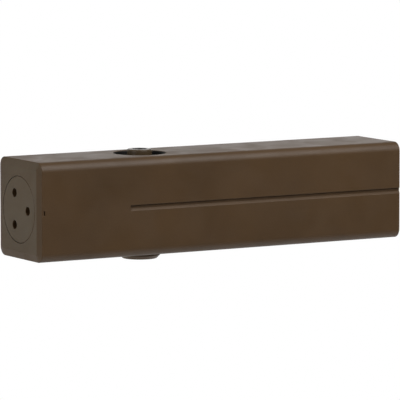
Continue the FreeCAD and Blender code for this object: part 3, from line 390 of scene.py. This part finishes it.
# %% [markdown]
# ## Steps that every finish shares
# Each finish mixes colours by a mask, sets its roughness between two values, and adds a little
# relief. These steps are functions rather than groups, because the shader has to stay in the
# material itself. A Mix node holds sockets for numbers, vectors and colours side by side, so its
# colour sockets are known by their places.

# %% Finish helpers
FIRST_COLOUR, SECOND_COLOUR, MIXED_COLOUR = 6, 7, 2


def shader_of(material):
    """A material's node tree and its shader."""
    return material.node_tree, material.node_tree.nodes["Principled BSDF"]


def new_finish(name):
    """A new material, its node tree and its shader."""
    material = bpy.data.materials.new(name)
    material.use_nodes = True
    return material, *shader_of(material)


def mix_colours(tree, mask, output, first, second):
    """A colour mixed from first to second by a mask. Each is a colour or a (node, output)."""
    mix = add_node(tree, "Mix", data_type="RGBA")
    join(tree, mask, output, mix, 0)
    for socket, colour in ((FIRST_COLOUR, first), (SECOND_COLOUR, second)):
        if isinstance(colour[0], bpy.types.Node):
            join(tree, *colour, mix, socket)
        else:
            mix.inputs[socket].default_value = (*colour, 1.0)
    return mix, MIXED_COLOUR


def set_roughness(tree, shader, mask, output, smooth, rough):
    """Roughness that runs from smooth to rough as the mask runs over its wide range."""
    gloss = stretched(tree, mask, output, *WIDE, smooth, rough)
    join(tree, gloss, "Result", shader, "Roughness")


def set_relief(tree, shader, mask, output, strength, height, edges=None):
    """Relief of some height in metres from a mask, over the rounded edges if there are any."""
    relief = add_node(tree, "Bump", Strength=strength, Distance=height)
    join(tree, mask, output, relief, "Height")
    if edges is not None:
        join(tree, edges, "Normal", relief, "Normal")
    join(tree, relief, "Normal", shader, "Normal")


def dress(material, *nodes):
    """Puts a finish on pieces."""
    for node in nodes:
        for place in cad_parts[node].material_slots:
            place.material = material
    print(material.name, "on", len(nodes), "piece(s)")


# %% [markdown]
# ## One recipe for all painted pieces
# The housing, its two plugs and the cap over the unused spindle end are sprayed together, so they
# share one recipe and its colours: two close browns mixed by the tone mask, a lighter brown on the
# edges that is partly rubbed paint and partly a painted highlight, and relief for the skin. The
# lacquer is satin: its roughness lies round 0.4, a little lower on the turned pieces than on the
# cast housing.

# %% Painted finish
BRONZE_DEEP = (0.065, 0.0365, 0.0160)
BRONZE_PALE = (0.085, 0.0478, 0.0210)
# Lighter brown for the edges: partly rubbed paint, partly a painted edge highlight.
BRONZE_WORN_AND_HIGHLIT = (0.125, 0.082, 0.045)
EDGE_WEAR_AND_HIGHLIGHT_SHARE = 0.55
LACQUER_SHINE = 0.3
CAST_SATIN = (0.36, 0.50)
TURNED_SATIN = (0.34, 0.46)
LACQUER_ROUND = 0.00045
FAINT, SKIN_HEIGHT = 0.25, 0.00003


def painted(name, satin):
    """Bronze lacquer. satin is its roughness, from smooth to rough."""
    material, tree, shader = new_finish(name)
    shader.inputs["Specular IOR Level"].default_value = LACQUER_SHINE
    paint = use_group(tree, sprayed_paint)
    edges = use_group(tree, softened_edges, Radius=LACQUER_ROUND)
    tone = stretched(tree, paint, "Tone", *NARROW)
    browns = mix_colours(tree, tone, "Result", BRONZE_DEEP, BRONZE_PALE)
    # Lighter brown on the edges: partly wear, partly a painted edge highlight.
    lacquer_edge_wear_and_highlight = times(tree, edges, "Wear", EDGE_WEAR_AND_HIGHLIGHT_SHARE)
    browns_worn_and_highlit = mix_colours(tree, lacquer_edge_wear_and_highlight, "Value", browns, BRONZE_WORN_AND_HIGHLIT)
    join(tree, *browns_worn_and_highlit, shader, "Base Color")
    set_roughness(tree, shader, paint, "Gloss", *satin)
    set_relief(tree, shader, paint, "Height", FAINT, SKIN_HEIGHT, edges)
    print("finish:", name)
    return material


housing_paint = painted("bronze_lacquer_housing", CAST_SATIN)


# %% [markdown]
# ## Masks by place
# A finish can begin at a set distance from the middle of a piece. The edge of a finish could be
# painted on by hand, but a distance stays right when the design changes. The middle is read from
# the piece's box, and a direction of 0 leaves that direction out of the distance: (1, 1, 0)
# measures from an upright axis, and (0, 0, 1) only up and down.

# %% Distance masks
ROUND_UPRIGHT, UP_AND_DOWN = (1, 1, 0), (0, 0, 1)
ROUND_LENGTHWAYS, END_TO_END = (0, 1, 1), (1, 0, 0)
MASK_EDGE = 0.0001


def from_middle_of(tree, node):
    """Object coordinates that start at the middle of a piece."""
    low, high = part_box(node)
    spot = add_node(tree, "TexCoord")
    moved = add_node(tree, "VectorMath", operation="SUBTRACT")
    join(tree, spot, "Object", moved, 0)
    moved.inputs[1].default_value = (low + high) / 2
    return moved


def nearer_than(tree, node, directions, reach):
    """1 within reach of the middle of a piece, measured in some directions, and 0 beyond."""
    kept = add_node(tree, "VectorMath", operation="MULTIPLY")
    join(tree, from_middle_of(tree, node), "Vector", kept, 0)
    kept.inputs[1].default_value = directions
    across = add_node(tree, "VectorMath", operation="LENGTH")
    join(tree, kept, "Vector", across, 0)
    return stretched(tree, across, "Value", reach, reach + MASK_EDGE, 1.0, 0.0)


def both_masks(tree, first, second):
    """1 where two masks are both 1."""
    product = add_node(tree, "Math", operation="MULTIPLY")
    join(tree, first, "Result", product, 0)
    join(tree, second, "Result", product, 1)
    return product


def colour_so_far(shader):
    """The colour that a finish has by now, as (node, output)."""
    return shader.inputs["Base Color"].links[0].from_node, MIXED_COLOUR


# %% [markdown]
# ## The housing's bare bore and painted recess shade
# The lacquer is sprayed with the plugs and the spindle in place, so the housing's bores stay bare.
# The cylinder is honed to bright metal. The round recesses at the spindle are painted near-black:
# painted shade for the shadow deep in them, which is why they look so dark. The middles and most of
# the distances are read from the boxes of the left plug, the spindle and the housing, and both
# finishes begin a little below the outer faces. Only the reach of the recesses is a plain number.

# %% Bare bore and painted recess shade of the housing
RECESS_REACH = 0.0172
BELOW_TOP, BELOW_END, PAST_PLUG = 0.0003, 0.0002, 0.0002
HONED_METAL = (0.30, 0.295, 0.285)
# Near-black painted shade for the round recesses at the spindle.
RECESS_PAINTED_SHADE = (0.006, 0.0055, 0.005)

tree, shader = shader_of(housing_paint)
low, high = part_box("housing")
half_long, half_high = (high.x - low.x) / 2, (high.z - low.z) / 2
plug_low, plug_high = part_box("left_end_plug")
plug_reach = (plug_high.z - plug_low.z) / 2 + PAST_PLUG
recess = both_masks(
    tree, nearer_than(tree, "pinion_spindle", ROUND_UPRIGHT, RECESS_REACH),
    nearer_than(tree, "housing", UP_AND_DOWN, half_high - BELOW_TOP))
bore = both_masks(
    tree, nearer_than(tree, "left_end_plug", ROUND_LENGTHWAYS, plug_reach),
    nearer_than(tree, "housing", END_TO_END, half_long - BELOW_END))
honed = mix_colours(tree, bore, "Value", colour_so_far(shader), HONED_METAL)
# Painted shade: the recesses at the spindle are coloured near-black for the shadow deep in them.
painted_recess_shade = mix_colours(tree, recess, "Value", honed, RECESS_PAINTED_SHADE)
join(tree, *painted_recess_shade, shader, "Base Color")
bare_only = add_node(tree, "Math", operation="SUBTRACT", use_clamp=True)
join(tree, bore, "Value", bare_only, 0)
join(tree, recess, "Value", bare_only, 1)
join(tree, bare_only, "Value", shader, "Metallic")
dress(housing_paint, "housing")

# %% [markdown]
# ## Plugs and cap
# The end plugs and the cap are turned, not cast, so the paint on them shows faint rings from the
# lathe. The rings are too fine to model. They go into the relief under the paint, centred on each
# piece's own axis, which is read from its box.

# %% Painted turned pieces
TO_UPRIGHT = {"X": (0.0, math.radians(-90.0), 0.0), "Z": (0.0, 0.0, 0.0)}


def centred(tree, node, axis):
    """Object coordinates moved and turned so that the piece's own axis lies along Z."""
    turned = add_node(tree, "Mapping", Rotation=TO_UPRIGHT[axis])
    join(tree, from_middle_of(tree, node), "Vector", turned, "Vector")
    return turned


def add_rings(material, node, axis, strength, height):
    """Puts turning marks under whatever relief the finish already has."""
    tree, shader = shader_of(material)
    above = shader.inputs["Normal"].links[0].from_node
    under = above.inputs["Normal"].links[0]
    marks = use_group(tree, turning_marks)
    join(tree, centred(tree, node, axis), "Vector", marks, "Place")
    rings = add_node(tree, "Bump", Strength=strength, Distance=height)
    join(tree, marks, "Rings", rings, "Height")
    tree.links.new(under.from_socket, rings.inputs["Normal"])
    join(tree, rings, "Normal", above, "Normal")


for node, axis in (("left_end_plug", "X"), ("right_end_plug", "X"), ("lower_spindle_cap", "Z")):
    lacquer = painted("bronze_lacquer_" + node, TURNED_SATIN)
    add_rings(lacquer, node, axis, FAINT, SKIN_HEIGHT)
    dress(lacquer, node)


# %% [markdown]
# ## Bare metals
# Inside, nothing is painted. Each metal could have a material of its own making, but one recipe
# serves them all: turning rings in the relief and the roughness, a light and a dark tone in soft
# blotches from oil and handling, and brighter edges where the burr was taken off. What differs is
# the colour and how smooth it is. The bearing carriers lie open in the recesses, so they are
# phosphated: nearly black against rust.

# %% Bare metal finish
BLOTCHY = (0.35, 0.65)
BURNISHED = 1.25
BURR_ROUND, BURR_PATCHES = 0.0002, 500.0
COARSE_FEED, CLEAR_RINGS, RING_HEIGHT = 1500.0, 0.3, 0.00002
TURNED_STEEL, TURNED_SHEEN = ((0.42, 0.41, 0.39), (0.56, 0.55, 0.53)), (0.22, 0.38)
PHOSPHATE, PHOSPHATE_SHEEN = ((0.050, 0.049, 0.047), (0.105, 0.102, 0.097)), (0.36, 0.52)


def bare_metal(name, node, axis, tones, sheen, rings=CLEAR_RINGS, feed=COARSE_FEED):
    """A metal with rings round the piece's axis. tones run from deep to pale, and sheen is its
    roughness, from smooth to rough."""
    material, tree, shader = new_finish(name)
    place = centred(tree, node, axis)
    marks = use_group(tree, turning_marks, Feed=feed)
    join(tree, place, "Vector", marks, "Place")
    edges = use_group(tree, softened_edges, Radius=BURR_ROUND, Patchiness=BURR_PATCHES)
    blotch = noise_at(tree, place, "Vector", Scale=140.0, Detail=4.0, Roughness=0.6)
    soft = stretched(tree, blotch, "Fac", *BLOTCHY)
    metals = mix_colours(tree, soft, "Result", *tones)
    bright = [min(1.0, BURNISHED * part) for part in tones[1]]
    join(tree, *mix_colours(tree, edges, "Wear", metals, bright), shader, "Base Color")
    shader.inputs["Metallic"].default_value = 1.0
    set_roughness(tree, shader, marks, "Rings", *sheen)
    set_relief(tree, shader, marks, "Rings", rings, RING_HEIGHT, edges)
    return material


for node in ("spring_plate", "check_retainer", "relief_screw"):
    dress(bare_metal("turned_steel_" + node, node, "X", TURNED_STEEL, TURNED_SHEEN), node)
for node in ("upper_bearing_carrier", "lower_bearing_carrier"):
    dress(bare_metal("phosphated_" + node, node, "Z", PHOSPHATE, PHOSPHATE_SHEEN), node)

# %% [markdown]
# ## Ground and hardened pieces
# Balls, needle rollers, bearing cups and thrust washers are hardened and ground, so they are
# smoother, greyer and finer-lined than turned steel. The adjusting screw is black from its
# hardening bath, with brown in the black where the oil has dried.

# %% Hard steel
GROUND_STEEL, GROUND_SHEEN = ((0.36, 0.36, 0.37), (0.46, 0.46, 0.47)), (0.12, 0.22)
BLACK_OXIDE, OXIDE_SHEEN = ((0.028, 0.025, 0.022), (0.055, 0.047, 0.040)), (0.34, 0.48)
GRINDING_LINES, GRINDING_FEED = 0.12, 3000.0

for node, axis in (("gallery_balls", "X"), ("check_ball", "X"), ("relief_ball", "X"),
                   ("upper_bearing_cup", "Z"), ("lower_bearing_cup", "Z"),
                   ("upper_needle_rollers", "Z"), ("lower_needle_rollers", "Z"),
                   ("upper_thrust_washer", "Z"), ("lower_thrust_washer", "Z"),
                   ("adjuster_thrust_washer", "X")):
    dress(bare_metal("ground_steel_" + node, node, axis, GROUND_STEEL, GROUND_SHEEN,
                     GRINDING_LINES, GRINDING_FEED), node)
dress(bare_metal("black_oxide_screw", "adjusting_screw", "X", BLACK_OXIDE, OXIDE_SHEEN),
      "adjusting_screw")

# %% [markdown]
# ## Valves
# The three regulating screws are brass, which seals on a seat without galling. Brass tarnishes
# to a browner yellow away from the edges, and oil keeps it fairly bright. It has the recipe of the
# other turned metals, with two yellows in place of the greys.

# %% Brass
OILED_BRASS, BRASS_SHEEN = ((0.46, 0.30, 0.10), (0.66, 0.47, 0.19)), (0.20, 0.36)

for node in ("closing_valve", "latching_valve", "backcheck_valve"):
    dress(bare_metal("oiled_brass_" + node, node, "X", OILED_BRASS, BRASS_SHEEN), node)

# %% [markdown]
# ## Spindle
# The spindle is one forging. Its two ends get a bronze plating close to the lacquer in colour,
# while the teeth and the bearing journals stay bare, and the hexagon socket in each end is
# painted near-black as painted shade for its hollow. It could be cut into three pieces with a
# finish each, but it turns as one, so one material changes with the distance from the middle,
# over less than a millimetre.

# %% Spindle
FORGED_STEEL, FORGED_SHEEN = ((0.30, 0.29, 0.28), (0.44, 0.43, 0.41)), (0.18, 0.34)
SOFT_RINGS = 0.2
PLATING = ((0.050, 0.033, 0.017), (0.070, 0.048, 0.026))
# Lighter plating for the edges: partly wear, partly a painted highlight on the rim.
PLATING_WORN_AND_HIGHLIT, PLATING_ROUND = (0.13, 0.10, 0.065), 0.0004
PLATING_STARTS, PLATING_FULL = 0.0268, 0.0276
SOCKET_REACH = 0.0050
# Near-black painted shade for the hexagon socket in each end.
SOCKET_PAINTED_SHADE = (0.012, 0.010, 0.008)

spindle = bare_metal("plated_spindle_steel", "pinion_spindle", "Z", FORGED_STEEL,
                     FORGED_SHEEN, SOFT_RINGS)
tree, shader = shader_of(spindle)
paint = use_group(tree, sprayed_paint)
edges = use_group(tree, softened_edges, Radius=PLATING_ROUND)
tone = stretched(tree, paint, "Tone", *NARROW)
browns = mix_colours(tree, tone, "Result", *PLATING)
# Lighter plating on the edges: partly wear, partly a painted highlight on the rim.
bronze = mix_colours(tree, edges, "Wear", browns, PLATING_WORN_AND_HIGHLIT)
spot = add_node(tree, "TexCoord")
height = add_node(tree, "SeparateXYZ")
join(tree, spot, "Object", height, "Vector")
from_middle = add_node(tree, "Math", operation="ABSOLUTE")
join(tree, height, "Z", from_middle, 0)
plated = stretched(tree, from_middle, "Value", PLATING_STARTS, PLATING_FULL)
both = mix_colours(tree, plated, "Result", colour_so_far(shader), bronze)
socket = nearer_than(tree, "pinion_spindle", ROUND_UPRIGHT, SOCKET_REACH)
# Painted shade: the socket hollow is coloured near-black.
painted_socket_shade = mix_colours(tree, socket, "Result", both, SOCKET_PAINTED_SHADE)
join(tree, *painted_socket_shade, shader, "Base Color")
bare = stretched(tree, from_middle, "Value", PLATING_STARTS, PLATING_FULL, 1.0, 0.0)
join(tree, bare, "Result", shader, "Metallic")
dress(spindle, "pinion_spindle")

# %% [markdown]
# ## Piston
# The piston is grey iron, darker than steel, with fine turning lines along its whole length. It is
# a turned metal like the others, so it has their recipe with a finer feed.

# %% Piston
GREY_IRON, IRON_SHEEN = ((0.20, 0.195, 0.19), (0.33, 0.325, 0.32)), (0.26, 0.44)
FINE_FEED = 2200.0

dress(bare_metal("grey_iron_piston", "rack_piston", "X", GREY_IRON, IRON_SHEEN,
                 SOFT_RINGS, FINE_FEED), "rack_piston")

# %% [markdown]
# ## Springs
# The springs are drawn wire, blue-black from tempering, with straw-coloured patches. Rings round
# the bore's axis would be wrong on a coil, and lines along the wire would need a map of the coil,
# so the wire gets only a fine scaly grain.


# %% Springs
FLAKES = (0.4, 0.6)
STRAW_PATCHES = (0.52, 0.70)
MOST_STRAW = 0.6
BLUE_BLACK, WIRE_SHEEN = ((0.10, 0.105, 0.12), (0.20, 0.20, 0.215)), (0.26, 0.42)
STRAW = (0.26, 0.20, 0.12)
GRAIN, WIRE_GRAIN_HEIGHT = 0.3, 0.00002


def drawn_wire(name, tones, straw, sheen):
    """Tempered wire: scale whose tones run from deep to pale, with patches of straw."""
    material, tree, shader = new_finish(name)
    spot = add_node(tree, "TexCoord")
    scale = noise_at(tree, spot, "Object", Scale=420.0, Detail=4.0, Roughness=0.65)
    temper = noise_at(tree, spot, "Object", Scale=60.0, Detail=2.0)
    soft = stretched(tree, scale, "Fac", *FLAKES)
    blue = mix_colours(tree, soft, "Result", *tones)
    warm = stretched(tree, temper, "Fac", *STRAW_PATCHES, 0.0, MOST_STRAW)
    join(tree, *mix_colours(tree, warm, "Result", blue, straw), shader, "Base Color")
    shader.inputs["Metallic"].default_value = 1.0
    set_roughness(tree, shader, scale, "Fac", *sheen)
    set_relief(tree, shader, scale, "Fac", GRAIN, WIRE_GRAIN_HEIGHT)
    return material


dress(drawn_wire("tempered_spring_wire", BLUE_BLACK, STRAW, WIRE_SHEEN),
      "closing_spring_outer", "closing_spring_inner", "relief_spring")

# %% [markdown]
# ## Rubber and ring polymer
# The seals are black nitrile rubber: a matt moulded skin with a faint grey bloom. The piston
# rings are a filled polymer, straw-coloured with dark flecks of filler. Neither is a metal, so
# they have a recipe of their own, in which a fine grain and a slow bloom share one mask.


# %% Seals and rings
EVEN_SHARE = 0.5
MOULD_GRAIN_HEIGHT = 0.00003
RUBBER_BLACK, RUBBER_SHEEN = ((0.010, 0.010, 0.010), (0.026, 0.025, 0.024)), (0.48, 0.66)
POLYMER_STRAW, POLYMER_SHEEN = ((0.16, 0.10, 0.045), (0.34, 0.24, 0.12)), (0.34, 0.50)
RUBBER_GRAIN, POLYMER_GRAIN = 900.0, 700.0


def moulded(name, tones, sheen, grain):
    """A moulded skin whose tones run from deep to pale. A larger grain number is finer."""
    material, tree, shader = new_finish(name)
    spot = add_node(tree, "TexCoord")
    fleck = noise_at(tree, spot, "Object", Scale=grain, Detail=4.0, Roughness=0.65)
    bloom = noise_at(tree, spot, "Object", Scale=90.0, Detail=3.0)
    both = added_noise(tree, fleck, EVEN_SHARE, bloom, EVEN_SHARE)
    soft = stretched(tree, both, "Value", *NARROW)
    join(tree, *mix_colours(tree, soft, "Result", *tones), shader, "Base Color")
    set_roughness(tree, shader, bloom, "Fac", *sheen)
    set_relief(tree, shader, fleck, "Fac", GRAIN, MOULD_GRAIN_HEIGHT)
    return material


rubber = moulded("nitrile_rubber", RUBBER_BLACK, RUBBER_SHEEN, RUBBER_GRAIN)
polymer = moulded("filled_ring_polymer", POLYMER_STRAW, POLYMER_SHEEN, POLYMER_GRAIN)
seals = [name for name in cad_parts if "oring" in name or "seal" in name]
dress(rubber, *seals)
dress(polymer, "piston_rings")

# %% [markdown]
# ## Last checks
# Every node should now carry one of the finishes above, and the nodes without one are printed.

# %% Finish
plain = [name for name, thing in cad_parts.items()
         if any(place.material is None or "_" not in place.material.name
                for place in thing.material_slots)]
print("nodes without a finish:", plain)
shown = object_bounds()
